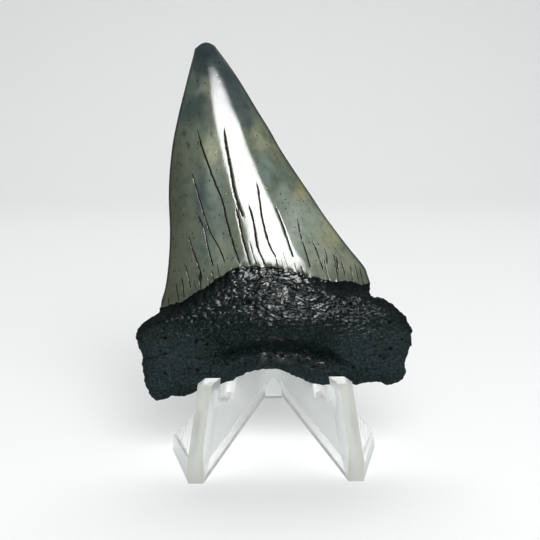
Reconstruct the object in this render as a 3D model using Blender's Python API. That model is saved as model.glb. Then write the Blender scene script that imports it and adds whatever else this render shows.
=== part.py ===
"""A fossil megalodon tooth that leans on a small clear moulded stand.

Two separate pieces: the tooth, crown and root in one solid, and the stand.
Driving dimensions are in millimetres; the meshes are made in metres.
The front of the object is -Y, +X is to the viewer's right and +Z is up.
The origin is on the surface that the stand rests on, below the middle of the whole object.

The tooth is drawn in its own plane: u to the right, v up along the slant, and w out of the
flat back face towards the viewer. The stand is drawn with y = 0 at the front of its feet.
"""
import math

import bmesh
import bpy
import numpy as np
from mathutils import Matrix, Vector

MM = 0.001

# Placing of the whole object: the middle of its box, measured from the front of the stand's feet
OBJECT_CENTRE_X = 0.06
OBJECT_CENTRE_Y = 14.58

# The tooth leans back on the stand
TOOTH_LEAN = math.radians(13.7)
TOOTH_BACK_Y = 11.5
TOOTH_BACK_Z = 17.0

# Outline of the tooth in its own plane (u, v), each side from the root up to the tip
ROOT_LEFT = (
    (-25.9, -1.8), (-26.4, -1.0), (-26.6, -0.2), (-27.3, 1.3), (-27.5, 3.0), (-27.9, 5.0),
    (-27.8, 6.8), (-28.5, 8.8), (-29.1, 11.1), (-28.6, 12.6), (-27.1, 14.3), (-24.6, 15.9),
)
CROWN_LEFT = (
    (-24.1, 17.0), (-23.9, 18.8), (-23.1, 21.6), (-22.4, 27.0), (-22.1, 33.5), (-22.3, 42.3),
    (-21.5, 51.2), (-20.0, 58.5), (-18.5, 64.4), (-16.8, 71.0), (-16.2, 73.6),
)
ROOT_RIGHT = (
    (26.7, 1.0), (27.7, 2.8), (27.5, 4.5), (28.3, 6.9), (29.2, 10.6), (28.7, 12.9),
    (26.9, 15.7), (23.7, 18.2), (21.2, 18.9), (20.4, 19.3), (20.5, 20.2),
)
CROWN_RIGHT = (
    (20.8, 21.9), (20.3, 23.6), (19.5, 25.6), (16.1, 29.9), (11.3, 36.5), (8.3, 41.2), (5.4, 45.6),
    (2.0, 51.0), (-3.6, 60.1), (-6.8, 66.3), (-10.2, 71.0), (-12.6, 74.3),
)
# Root edge between the lobes, from the left lobe over the arch to the right lobe
ROOT_BOTTOM = (
    (-25.9, -1.8), (-24.7, -2.3), (-22.9, -2.1), (-21.6, -1.5), (-20.3, -1.6), (-18.7, -1.5),
    (-16.6, -0.8), (-14.0, 0.1), (-11.2, 0.9), (-8.8, 1.7), (-5.9, 3.1), (-3.4, 3.7), (-0.7, 3.9),
    (2.0, 3.4), (4.1, 2.4), (6.6, 1.3), (9.1, 0.6), (12.5, 0.4), (15.9, 0.6), (17.4, 0.3),
    (18.9, 0.6), (21.6, 1.0), (23.4, 0.4), (24.9, 0.3), (26.7, 1.0),
)
# Where enamel and root meet on the front
BORDER = (
    (-24.1, 17.0), (-19.4, 18.3), (-15.3, 20.4), (-13.1, 21.7), (-10.8, 23.2), (-8.5, 24.7),
    (-6.6, 25.1), (-3.5, 25.0), (0.4, 24.9), (3.0, 24.3), (6.1, 23.5), (9.3, 22.6), (12.6, 22.0),
    (16.5, 22.0), (18.5, 21.4), (20.8, 21.9),
)
TIP_ROUND = 1.1
TIP_V = 75.4
TIP_TAPER = 4.0

# Thickness of the tooth, out of the plane of its flat back
CROWN_EDGE_W = 1.7
LOBE_EDGE_W = 3.9
ROOT_BOTTOM_EDGE_W = 2.9
TIP_EDGE_W = 1.1
CROWN_CREST_W = ((15.0, 12.6), (24.0, 12.6), (32.0, 11.2), (45.0, 8.8), (60.0, 6.1), (71.0, 3.9), (75.5, 2.6))
CROWN_PROFILE_POWER = 2.1
LOBE_W = 8.4
BULGE_W = 6.4
BULGE_CENTRE = (0.5, 18.0)
BULGE_HALF_SIZE = (15.0, 8.6)
HOLLOW_TOP_V = 10.0
HOLLOW_ARCH = 0.020
HOLLOW_DEPTH = 4.4
HOLLOW_HALF_WIDTH = 11.5
HOLLOW_RIDGE_BELOW = 3.6
HOLLOW_RIDGE_W = 1.2
SEAT_W = 6.1
SEAT_TOP_V = 2.6
ROOT_EDGE_ROUND = 3.4
ROOT_BOTTOM_ROUND = 2.2
BACK_EDGE_ROUND = 3.0

# Grid of the tooth's two faces
COLUMNS = 50
ROOT_ROWS = 20
CROWN_ROWS = 18

# Stand: each half is an upright plate that runs from a front foot back to the middle spine.
# The outer faces of post and plate start FOOT_HALF_SPAN from the middle and turn inward by a yaw.
FOOT_HALF_SPAN = 18.1
POST_YAW = math.radians(33.5)
PLATE_YAW = math.radians(29.5)
PLATE_LENGTH = 30.0
ARCH_LENGTH = 27.0
RAIL_WIDTH = 2.7
WEB_WIDTH = 1.2
WEB_INSET = 1.2
RIB_WIDTH = 1.9
RIB_INSET = 0.85
RIB_HEIGHT = 2.9
POST_DEPTH = 2.6
POST_SLOPE = 0.25
POST_TWIST = 0.93
CREASE_HEIGHT = 4.6
LIP_TOP = 20.8
LIP_TOP_Y = 5.55
LIP_ROUND = 1.0
LIP_HALF_WIDTH = 3.6
NOTCH_FLOOR = 14.4
NOTCH_FRONT = 8.0
NOTCH_BACK = 14.2
NOTCH_STEPS = 12
BACKREST_TOP = 42.0
BACKREST_DEPTH = 3.6
CLEARANCE = 0.3
SPINE_WIDTH = 3.7
SPINE_FRONT = 22.8
SPINE_BACK = 26.8
SPINE_BOTTOM = 10.6
SPINE_TOP = 37.0
FOOT_LENGTH = 1.6
# Outer wings, from the post back to the rear feet
WING_REAR = (22.95, 19.6, 0.0)
WING_REAR_TOP = (22.6, 19.6, 3.65)
WING_FRONT_TOP = (17.75, 0.2, 4.6)
WING_TOP = (16.15, 2.6, 15.1)
WING_WEB_WIDTH = 1.2
WING_WEB_INSET = 0.3
WING_RIB_WIDTH = 1.9


def remove_old_objects():
    for old in list(bpy.data.objects):
        bpy.data.objects.remove(old, do_unlink=True)


def material(name, colour, roughness, metallic=0.0, transmission=0.0):
    made = bpy.data.materials.new(name)
    made.use_nodes = True
    shader = made.node_tree.nodes["Principled BSDF"]
    shader.inputs["Base Color"].default_value = (*colour, 1.0)
    shader.inputs["Roughness"].default_value = roughness
    shader.inputs["Metallic"].default_value = metallic
    shader.inputs["Transmission Weight"].default_value = transmission
    return made


def smooth_curve(points, count):
    """Evenly spaced points on a Catmull-Rom curve through the given points."""
    pts = np.array(points, float)
    ends = np.vstack([2 * pts[0] - pts[1], pts, 2 * pts[-1] - pts[-2]])
    fine = []
    for i in range(1, len(ends) - 2):
        a, b, c, d = ends[i - 1:i + 3]
        for t in np.linspace(0.0, 1.0, 12, endpoint=False):
            fine.append(0.5 * (2 * b + (c - a) * t + (2 * a - 5 * b + 4 * c - d) * t ** 2
                               + (3 * b - a - 3 * c + d) * t ** 3))
    fine.append(pts[-1])
    fine = np.array(fine)
    reach = np.concatenate([[0.0], np.cumsum(np.linalg.norm(np.diff(fine, axis=0), axis=1))])
    if np.isscalar(count):
        wanted = np.linspace(0.0, reach[-1], count)
    else:
        wanted = np.asarray(count) * reach[-1]
    return np.column_stack([np.interp(wanted, reach, fine[:, k]) for k in range(2)])


def ramp(low, high, value):
    """Smooth step from 0 at low to 1 at high."""
    part = np.clip((value - low) / (high - low), 0.0, 1.0)
    return part * part * (3.0 - 2.0 * part)


def edge_round(distance, radius):
    """Quarter-ellipse rise from 0 at an edge to 1 at the given distance from it."""
    part = np.clip(distance / radius, 0.0, 1.0)
    return np.sqrt(1.0 - (1.0 - part) ** 2)


def distance_to_path(points, path):
    """Shortest distance from each point to a path of straight pieces."""
    best = np.full(len(points), 1.0e9)
    for a, b in zip(path[:-1], path[1:]):
        along = b - a
        part = np.clip(((points - a) @ along) / (along @ along), 0.0, 1.0)
        gap = points - (a + part[:, None] * along)
        best = np.minimum(best, np.hypot(gap[:, 0], gap[:, 1]))
    return best


def tooth_grid():
    """Points (u, v) over the tooth's outline, with the place of each across and up it."""
    across = (1.0 - np.cos(np.linspace(0.0, np.pi, COLUMNS + 1))) / 2.0
    up_root = (1.0 - np.cos(np.linspace(0.0, 0.5 * np.pi, ROOT_ROWS + 1)))
    up_crown = np.sin(np.linspace(0.0, 0.5 * np.pi, CROWN_ROWS + 1)) ** 0.9
    left = np.vstack([smooth_curve(ROOT_LEFT + CROWN_LEFT[:1], up_root)[:-1],
                      smooth_curve(CROWN_LEFT, up_crown)])
    right = np.vstack([smooth_curve(ROOT_RIGHT + CROWN_RIGHT[:1], up_root)[:-1],
                       smooth_curve(CROWN_RIGHT, up_crown)])
    bottom = smooth_curve(ROOT_BOTTOM, across)
    border = smooth_curve((CROWN_LEFT[0],) + BORDER[1:-1] + (CROWN_RIGHT[0],), across)
    tip_arch = TIP_ROUND * np.sin(np.pi * across)

    def offset_from_chord(row):
        return row - (row[0] + across[:, None] * (row[-1] - row[0]))

    bottom_bend = offset_from_chord(bottom)
    border_bend = offset_from_chord(border)
    tip_bend = np.column_stack([np.zeros_like(across), tip_arch])
    rows = []
    for j, (a, b) in enumerate(zip(left, right)):
        if j <= ROOT_ROWS:
            part = ramp(0.0, 1.0, up_root[j])
            bend = (1.0 - part) * bottom_bend + part * border_bend
        else:
            part = ramp(0.0, 1.0, up_crown[j - ROOT_ROWS])
            bend = (1.0 - part) * border_bend + part * tip_bend
        rows.append(a + across[:, None] * (b - a) + bend)
    grid = np.array(rows)
    outline = np.vstack([left[::-1], bottom[1:], right[1:]])
    return grid, across, outline, bottom


def border_height(u):
    """v of the line between enamel and root at u."""
    line = np.array(BORDER)
    return np.interp(u, line[:, 0], line[:, 1])


def tooth_depths(u, v, across, edge_gap, bottom_gap):
    """Front and back of the tooth, w, at each point."""
    crest = np.array(CROWN_CREST_W)
    in_crown = ramp(-1.6, 1.6, v - border_height(u))
    tip_near = ramp(66.0, 76.0, v)
    crown_edge = CROWN_EDGE_W + (TIP_EDGE_W - CROWN_EDGE_W) * tip_near
    near_bottom = 1.0 - ramp(0.0, 5.0, bottom_gap)
    between_lobes = 1.0 - ramp(16.0, 24.0, np.abs(u))
    root_edge = LOBE_EDGE_W + (ROOT_BOTTOM_EDGE_W - LOBE_EDGE_W) * near_bottom * between_lobes
    edge = root_edge + (crown_edge - root_edge) * ramp(-5.0, 2.0, v - border_height(u))

    side = np.abs(2.0 * across - 1.0)
    crown_top = np.interp(v, crest[:, 0], crest[:, 1])
    tip_taper = edge_round(TIP_V - v, TIP_TAPER)
    crown = edge + (crown_top - edge) * (1.0 - side ** CROWN_PROFILE_POWER) * tip_taper

    bulge = np.exp(-((u - BULGE_CENTRE[0]) / BULGE_HALF_SIZE[0]) ** 2
                   - ((v - BULGE_CENTRE[1]) / BULGE_HALF_SIZE[1]) ** 2)
    hollow_edge = HOLLOW_TOP_V - HOLLOW_ARCH * u * u
    in_hollow = 1.0 - ramp(HOLLOW_HALF_WIDTH - 2.5, HOLLOW_HALF_WIDTH + 4.0, np.abs(u))
    hollow = (1.0 - ramp(-1.4, 1.0, v - hollow_edge)) * in_hollow
    ridge = np.exp(-((v - hollow_edge + HOLLOW_RIDGE_BELOW) / 1.2) ** 2) * in_hollow
    root_top = LOBE_W + BULGE_W * bulge - HOLLOW_DEPTH * hollow + HOLLOW_RIDGE_W * ridge
    at_seat = (1.0 - ramp(SEAT_TOP_V, SEAT_TOP_V + 1.2, v)) * ramp(9.0, 11.5, np.abs(u))
    at_seat = at_seat * (1.0 - ramp(16.5, 19.0, np.abs(u)))
    root_top = root_top + (np.minimum(root_top, SEAT_W) - root_top) * at_seat
    rounding = edge_round(edge_gap, ROOT_EDGE_ROUND) * edge_round(bottom_gap, ROOT_BOTTOM_ROUND)
    root = edge + (root_top - edge) * rounding

    front = root + (crown - root) * in_crown
    back = edge * (1.0 - edge_round(edge_gap, BACK_EDGE_ROUND))
    return front, back, edge


def tooth_point(u, v, w):
    """A point of the tooth's plane, placed on the stand, in metres."""
    y = TOOTH_BACK_Y + v * math.sin(TOOTH_LEAN) - w * math.cos(TOOTH_LEAN)
    z = TOOTH_BACK_Z + v * math.cos(TOOTH_LEAN) + w * math.sin(TOOTH_LEAN)
    return ((u - OBJECT_CENTRE_X) * MM, (y - OBJECT_CENTRE_Y) * MM, z * MM)


def make_tooth():
    grid, across, outline, bottom = tooth_grid()
    row_count, column_count = grid.shape[:2]
    points = grid.reshape(-1, 2)
    u = points[:, 0]
    v = points[:, 1]
    place_across = np.tile(across, row_count)
    edge_gap = distance_to_path(points, outline)
    bottom_gap = distance_to_path(points, bottom)
    front, back, edge = tooth_depths(u, v, place_across, edge_gap, bottom_gap)

    mesh = bmesh.new()
    front_verts = {}
    back_verts = {}
    for j in range(row_count):
        for i in range(column_count):
            k = j * column_count + i
            on_rim = i in (0, column_count - 1) or j in (0, row_count - 1)
            if on_rim:
                shared = mesh.verts.new(tooth_point(u[k], v[k], edge[k]))
                front_verts[j, i] = shared
                back_verts[j, i] = shared
            else:
                front_verts[j, i] = mesh.verts.new(tooth_point(u[k], v[k], front[k]))
                back_verts[j, i] = mesh.verts.new(tooth_point(u[k], v[k], back[k]))
    for j in range(row_count - 1):
        for i in range(column_count - 1):
            corners = ((j, i), (j, i + 1), (j + 1, i + 1), (j + 1, i))
            mesh.faces.new([front_verts[c] for c in corners])
            mesh.faces.new([back_verts[c] for c in reversed(corners)])
    bmesh.ops.triangulate(mesh, faces=mesh.faces[:])
    tooth = object_from("tooth", mesh)
    tooth.data.materials.append(material("tooth", (0.16, 0.17, 0.15), 0.3))
    tooth.data.shade_smooth()
    return tooth


def object_from(name, mesh):
    data = bpy.data.meshes.new(name)
    mesh.to_mesh(data)
    mesh.free()
    made = bpy.data.objects.new(name, data)
    bpy.context.scene.collection.objects.link(made)
    return made


def slab(corners, sweep):
    """A flat polygon of corner points, swept along a vector; in millimetres, as all blanks."""
    mesh = bmesh.new()
    near = [mesh.verts.new(Vector(corner)) for corner in corners]
    far = [mesh.verts.new(Vector(corner) + Vector(sweep)) for corner in corners]
    mesh.faces.new(near)
    mesh.faces.new(list(reversed(far)))
    count = len(corners)
    for i in range(count):
        j = (i + 1) % count
        mesh.faces.new((near[i], far[i], far[j], near[j]))
    bmesh.ops.recalc_face_normals(mesh, faces=mesh.faces[:])
    return mesh


def keep_below(mesh, point, away):
    """Cut off what lies past a plane, on the side that the vector points to."""
    geometry = mesh.verts[:] + mesh.edges[:] + mesh.faces[:]
    cut = bmesh.ops.bisect_plane(mesh, geom=geometry, dist=1.0e-5, plane_co=Vector(point),
                                 plane_no=Vector(away).normalized(), clear_outer=True)
    rim = [item for item in cut["geom_cut"] if isinstance(item, bmesh.types.BMEdge)]
    bmesh.ops.holes_fill(mesh, edges=rim, sides=0)
    bmesh.ops.recalc_face_normals(mesh, faces=mesh.faces[:])


def plate_slab(outline, inset, width, yaw=PLATE_YAW):
    """Part of the right-hand plate: outline (q, z), with q along the plate from the foot."""
    along = Vector((-math.sin(yaw), math.cos(yaw), 0.0))
    inward = Vector((-math.cos(yaw), -math.sin(yaw), 0.0))
    start = Vector((FOOT_HALF_SPAN, 0.0, 0.0)) + inset * inward
    corners = [start + q * along + Vector((0.0, 0.0, z)) for q, z in outline]
    return slab(corners, width * inward)


def rib_bottom(q):
    """Height of the plate's lower edge at q: on the floor at the foot, then up to the spine."""
    return SPINE_BOTTOM * max(0.0, q - FOOT_LENGTH) / (ARCH_LENGTH - FOOT_LENGTH)


def tooth_back_at(z):
    """y of the plane that the backrests offer to the tooth, at height z."""
    return TOOTH_BACK_Y + CLEARANCE + (z - TOOTH_BACK_Z) * math.tan(TOOTH_LEAN)


def notch_curve():
    """Rounded floor of the notch from its back edge to its front edge."""
    middle = 0.5 * (NOTCH_FRONT + NOTCH_BACK)
    half = 0.5 * (NOTCH_BACK - NOTCH_FRONT)
    angles = [math.pi * (2.0 - k / NOTCH_STEPS) for k in range(NOTCH_STEPS + 1)]
    return [(middle + half * math.cos(a), NOTCH_FLOOR + half * (1.0 + math.sin(a))) for a in angles]


def post():
    """Foot and leaning post, up to the floor of the notch."""
    top = NOTCH_FLOOR + 0.4
    top_reach = POST_SLOPE * (top - CREASE_HEIGHT) / math.cos(POST_YAW) + 1.4
    outline = [(-4.0, 0.0), (FOOT_LENGTH, 0.0), (FOOT_LENGTH + 0.8, 0.5), (1.4 + POST_DEPTH, CREASE_HEIGHT),
               (top_reach + POST_DEPTH, top), (-4.0, top)]
    return cut_front(plate_slab(outline, 0.0, RAIL_WIDTH, POST_YAW))


def lip():
    """Top of the post, in front of the tooth, with a rounded front corner."""
    outline = [(-4.0, NOTCH_FLOOR - 0.3), (16.0, NOTCH_FLOOR - 0.3), (16.0, LIP_TOP + 1.0), (-4.0, LIP_TOP + 1.0)]
    mesh = cut_front(plate_slab(outline, 0.0, RAIL_WIDTH, POST_YAW))
    lean = math.tan(TOOTH_LEAN)
    keep_below(mesh, (0.0, LIP_TOP_Y, LIP_TOP), (0.0, 1.0, -lean))
    keep_below(mesh, (0.0, LIP_TOP_Y, LIP_TOP), (0.0, -lean, 1.0))
    front_turn = math.atan(1.0 / POST_SLOPE)
    top_away = np.array((-math.sin(TOOTH_LEAN), math.cos(TOOTH_LEAN)))
    front_away = np.array((-math.sin(front_turn), math.cos(front_turn)))
    on_front = np.array((-POST_SLOPE * POST_TWIST * LIP_HALF_WIDTH, CREASE_HEIGHT))
    reach = np.array((top_away @ (LIP_TOP_Y, LIP_TOP), front_away @ on_front)) - LIP_ROUND
    centre = np.linalg.solve(np.array((top_away, front_away)), reach)
    for turn in np.linspace(TOOTH_LEAN, front_turn, 5)[1:-1]:
        away = np.array((-math.sin(turn), math.cos(turn)))
        touch = centre + LIP_ROUND * away
        keep_below(mesh, (0.0, *touch), (0.0, *away))
    return mesh


def cut_front(mesh):
    """The upright foot's face, and above the crease the leaning, slightly turned face."""
    keep_below(mesh, (0.0, 0.0, 0.0), (0.0, -1.0, 0.0))
    keep_below(mesh, (FOOT_HALF_SPAN, 0.0, CREASE_HEIGHT),
               (POST_TWIST * POST_SLOPE, -1.0, POST_SLOPE))
    return mesh


def web():
    """Thin plate between post, notch, backrest, spine and the rib below."""
    top_q = tooth_back_at(BACKREST_TOP) / math.cos(PLATE_YAW)
    back_q = tooth_back_at(NOTCH_FLOOR) / math.cos(PLATE_YAW)
    outline = [(2.0, 0.8), (PLATE_LENGTH, rib_bottom(PLATE_LENGTH) + 0.8), (PLATE_LENGTH, SPINE_TOP - 1.0)]
    outline += [(top_q + 2.4, BACKREST_TOP - 1.0), (back_q + 1.6, NOTCH_FLOOR + 1.0)]
    outline += notch_curve()[2:]
    outline += [(NOTCH_FRONT - 1.2, LIP_TOP - 2.0), (5.0, LIP_TOP - 3.0)]
    return plate_slab(outline, WEB_INSET, WEB_WIDTH)


def rib():
    """Straight rail along the plate's lower edge."""
    outline = [
        (1.0, 0.0), (FOOT_LENGTH, 0.0), (PLATE_LENGTH, rib_bottom(PLATE_LENGTH)),
        (PLATE_LENGTH, rib_bottom(PLATE_LENGTH) + RIB_HEIGHT), (1.0, RIB_HEIGHT - 0.2),
    ]
    mesh = plate_slab(outline, RIB_INSET, RIB_WIDTH)
    keep_below(mesh, (0.0, 0.1, 0.0), (0.0, -1.0, 0.0))
    return mesh


def backrest():
    """Rail that the tooth's flat back leans on."""
    low = NOTCH_FLOOR + 0.8
    low_q = tooth_back_at(low) / math.cos(PLATE_YAW)
    top_q = tooth_back_at(BACKREST_TOP) / math.cos(PLATE_YAW)
    outline = [
        (low_q - 3.0, low), (low_q + BACKREST_DEPTH, low - 1.6),
        (top_q + BACKREST_DEPTH + 0.8, BACKREST_TOP - 1.4), (top_q + BACKREST_DEPTH - 0.8, BACKREST_TOP),
        (top_q - 3.0, BACKREST_TOP),
    ]
    mesh = plate_slab(outline, 0.0, RAIL_WIDTH)
    keep_below(mesh, (0.0, tooth_back_at(0.0), 0.0), (0.0, -1.0, math.tan(TOOTH_LEAN)))
    return mesh


def wing_slab(corners, inset, width):
    """A polygon in the wing's tilted outer plane, given thickness towards the inside."""
    foot = Vector((FOOT_HALF_SPAN, 0.0, 0.0))
    inward = (Vector(WING_REAR) - foot).cross(Vector(WING_TOP) - foot).normalized()
    if inward.x > 0:
        inward.negate()
    return slab([Vector(corner) + inset * inward for corner in corners], width * inward)


def wing_web():
    """Thin triangle from the rear foot up to the leaning post."""
    foot = (FOOT_HALF_SPAN - 0.1, 0.8, 0.0)
    on_post = (17.4, 0.8, 7.0)
    mesh = wing_slab([foot, WING_REAR, WING_REAR_TOP, WING_TOP, on_post], WING_WEB_INSET, WING_WEB_WIDTH)
    keep_below(mesh, (0.0, 0.0, 0.7), (0.0, 0.0, -1.0))
    return mesh


def wing_rib():
    """Runner along the floor from the front foot to the rear foot."""
    front_below = (FOOT_HALF_SPAN + 0.1, 0.4, -1.5)
    rear_below = (WING_REAR[0] + 0.15, WING_REAR[1], -1.5)
    mesh = wing_slab([front_below, rear_below, WING_REAR_TOP, WING_FRONT_TOP], 0.0, WING_RIB_WIDTH)
    keep_below(mesh, (0.0, 0.0, 0.0), (0.0, 0.0, -1.0))
    keep_below(mesh, (0.0, 0.05, 0.0), (0.0, -1.0, 0.0))
    return mesh


def spine():
    """Upright bar in the middle of the back that joins the two plates."""
    half = 0.5 * SPINE_WIDTH
    corners = [(-half, SPINE_FRONT, SPINE_BOTTOM), (-half, SPINE_BACK, SPINE_BOTTOM),
               (-half, SPINE_BACK, SPINE_TOP), (-half, SPINE_FRONT, SPINE_TOP)]
    return slab(corners, (SPINE_WIDTH, 0.0, 0.0))


def make_stand():
    """Both halves and the spine, joined into one moulded body and then scaled to metres."""
    blanks = [object_from("spine_blank", spine())]
    for shape in (post, lip, web, rib, backrest, wing_web, wing_rib):
        right = shape()
        blanks.append(object_from(shape.__name__ + "_right_blank", right))
        left = shape()
        left.transform(Matrix.Diagonal((-1.0, 1.0, 1.0, 1.0)))
        bmesh.ops.reverse_faces(left, faces=left.faces[:])
        blanks.append(object_from(shape.__name__ + "_left_blank", left))
    body = blanks[0]
    for blank in blanks[1:]:
        union = body.modifiers.new("join", "BOOLEAN")
        union.operation = "UNION"
        union.solver = "MANIFOLD"
        union.object = blank
        depsgraph = bpy.context.evaluated_depsgraph_get()
        joined = bpy.data.meshes.new_from_object(body.evaluated_get(depsgraph))
        body.modifiers.clear()
        body.data = joined
        bpy.data.objects.remove(blank, do_unlink=True)
    to_centre = Matrix.Translation(Vector((-OBJECT_CENTRE_X, -OBJECT_CENTRE_Y, 0.0)))
    body.data.transform(Matrix.Scale(MM, 4) @ to_centre)
    body.name = "stand"
    body.data.name = "stand"
    body.data.materials.clear()
    body.data.materials.append(material("clear_plastic", (0.93, 0.95, 0.95), 0.08, transmission=0.9))
    return body


def main():
    remove_old_objects()
    make_tooth()
    make_stand()


main()
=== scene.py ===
# Visual model of a fossil megalodon tooth that leans on a small clear moulded stand.
# Lengths are in millimetres and angles in radians unless a name says otherwise; meshes are in metres.
# The tooth is drawn in its own plane: u to the right, v up along the slant, and w out of the flat
# back face towards the viewer. The stand frame has y = 0 at the front of the stand's feet.
import math
from itertools import product

import bmesh
import bpy
import numpy as np
from mathutils import Matrix, Vector


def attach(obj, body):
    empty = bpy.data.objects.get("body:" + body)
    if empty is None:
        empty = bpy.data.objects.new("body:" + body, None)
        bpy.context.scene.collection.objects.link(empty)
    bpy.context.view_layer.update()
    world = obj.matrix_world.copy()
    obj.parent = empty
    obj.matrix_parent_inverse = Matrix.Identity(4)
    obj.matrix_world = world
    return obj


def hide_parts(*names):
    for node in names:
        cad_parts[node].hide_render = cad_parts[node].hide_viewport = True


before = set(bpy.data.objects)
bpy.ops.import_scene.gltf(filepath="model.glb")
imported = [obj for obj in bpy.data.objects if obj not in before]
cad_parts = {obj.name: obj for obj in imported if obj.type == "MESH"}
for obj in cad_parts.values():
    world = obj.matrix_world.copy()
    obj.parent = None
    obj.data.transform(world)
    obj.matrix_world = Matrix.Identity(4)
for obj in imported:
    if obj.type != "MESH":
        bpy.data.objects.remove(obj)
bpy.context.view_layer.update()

MM = 0.001
SAME_PLACE_M = 1.0e-6
SEED = 11

# Placing of the whole object, and of the tooth on the stand
OBJECT_CENTRE_X = 0.06
OBJECT_CENTRE_Y = 14.58
TOOTH_LEAN = math.radians(13.7)
TOOTH_BACK_Y = 11.5
TOOTH_BACK_Z = 17.0

# Outline of the tooth in its own plane (u, v), each side from the root up to the tip. Its points and
# those of BORDER were picked by hand on the photograph and turned into mm with the camera below by
# another script; some were then moved by hand. part.py holds the same points, apart from those of the
# upper crown, which is slimmer here.
ROOT_LEFT = (
    (-25.9, -1.8), (-26.4, -1.0), (-26.6, -0.2), (-27.3, 1.3), (-27.5, 3.0), (-27.9, 5.0),
    (-27.8, 6.8), (-28.5, 8.8), (-29.1, 11.1), (-28.6, 12.6), (-27.1, 14.3), (-24.6, 15.9),
)
CROWN_LEFT = (
    (-24.1, 17.0), (-23.9, 18.8), (-23.1, 21.6), (-22.4, 27.0), (-22.1, 33.5), (-22.3, 42.3),
    (-21.6, 51.2), (-20.2, 58.5), (-18.75, 64.4), (-17.1, 71.0), (-16.5, 73.6),
)
ROOT_RIGHT = (
    (26.7, 1.0), (27.7, 2.8), (27.5, 4.5), (28.3, 6.9), (29.2, 10.6), (28.7, 12.9),
    (26.9, 15.7), (23.7, 18.2), (21.2, 18.9), (20.4, 19.3), (20.5, 20.2),
)
CROWN_RIGHT = (
    (20.8, 21.9), (20.3, 23.6), (19.5, 25.6), (16.1, 29.9), (11.3, 36.5), (8.3, 41.2), (5.4, 45.6),
    (2.0, 51.0), (-0.5, 55.6), (-3.2, 60.1), (-6.8, 66.3), (-9.85, 71.0), (-12.2, 74.3),
)
ROOT_BOTTOM = (
    (-25.9, -1.8), (-24.7, -2.3), (-22.9, -2.1), (-21.6, -1.5), (-20.3, -1.6), (-18.7, -1.5),
    (-16.6, -0.8), (-14.0, 0.1), (-11.2, 0.9), (-8.8, 1.7), (-5.9, 3.1), (-3.4, 3.7), (-0.7, 3.9),
    (2.0, 3.4), (4.1, 2.4), (6.6, 1.3), (9.1, 0.6), (12.5, 0.4), (15.9, 0.6), (17.4, 0.3),
    (18.9, 0.6), (21.6, 1.0), (23.4, 0.4), (24.9, 0.3), (26.7, 1.0),
)
# Where enamel and root meet on the front, and how far the same line sags on the back
BORDER = (
    (-24.1, 17.0), (-19.4, 18.3), (-15.3, 20.4), (-13.1, 21.7), (-10.8, 23.2), (-8.5, 24.7),
    (-6.6, 25.1), (-3.5, 25.0), (0.4, 24.9), (3.0, 24.3), (6.1, 23.5), (9.3, 22.6), (12.6, 22.0),
    (16.5, 22.0), (18.5, 21.4), (20.8, 21.9),
)
BACK_BORDER_SAG = 4.0
TIP_ROUND = 1.1
TIP_V = 75.4
TIP_TAPER = 7.0

# Thickness of the tooth, out of the plane of its flat back
CROWN_EDGE_W = 1.7
LOBE_EDGE_W = 3.9
ROOT_BOTTOM_EDGE_W = 2.9
TIP_EDGE_W = 1.1
CROWN_CREST_W = (
    (15.0, 12.6), (24.0, 12.6), (32.0, 11.2), (45.0, 8.8), (60.0, 6.1), (71.0, 3.9), (75.5, 2.6),
)
CROWN_PROFILE_POWER = 2.1
# Heights over the enamel's lower edge through which the root's form, and its edge, turn into the crown's
CROWN_BLEND_ABOVE = (-3.8, 0.7)
EDGE_BLEND_ABOVE = (-5.0, 2.0)
TIP_EDGE_V = (66.0, 76.0)
THIN_BOTTOM_HEIGHT = 5.0
LOBE_INNER_U = (16.0, 24.0)
LOBE_W = 8.4
LOBE_FALL = 0.16
LOBE_FALL_TOP_V = 15.0
BULGE_W = 6.4
BULGE_CENTRE = (0.5, 16.2)
BULGE_HALF_WIDTH = 15.0
BULGE_ABOVE = 13.0
BULGE_BELOW = 7.4
HOLLOW_TOP_V = 10.0
HOLLOW_ARCH = 0.020
HOLLOW_DEPTH = 4.4
HOLLOW_HALF_WIDTH = 11.5
HOLLOW_RIDGE_BELOW = 3.6
HOLLOW_RIDGE_W = 1.2
HOLLOW_U = 1.5
RIDGE_V = 6.2
RIDGE_HALF_SIZE = 1.2
FOLD_V = 6.8
FOLD_DEPTH = 0.20
SEAT_W = 6.1
SEAT_TOP_V = 2.6
SEAT_INNER_U = (9.0, 11.5)
SEAT_OUTER_U = (16.5, 19.0)
ROOT_EDGE_ROUND = 3.4
ROOT_BOTTOM_ROUND = 2.2
BACK_EDGE_ROUND = 3.0
# Where on the root its matt, satin and glossy finishes lie
ROOT_MATT_BELOW = 10.2
ROOT_MATT_EDGE = 2.2
ROOT_GLOSSY_ABOVE = 14.0
ROOT_GLOSSY_HALF_WIDTH = 12.5
ROOT_SATIN_HALF_WIDTH = 21.5
ROOT_MATT_BAND = 3.2
ROOT_BAND_SATIN_HALF_WIDTH = 9.5
RIDGE_TOP_V = 8.5
RIDGE_GLOSS_U = 6.5
RIDGE_GLOSS_HALF_WIDTH = 9.5

# Fine grid of the visual tooth
COLUMNS = 216
ROOT_ROWS = 170
CROWN_ROWS = 110

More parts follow.
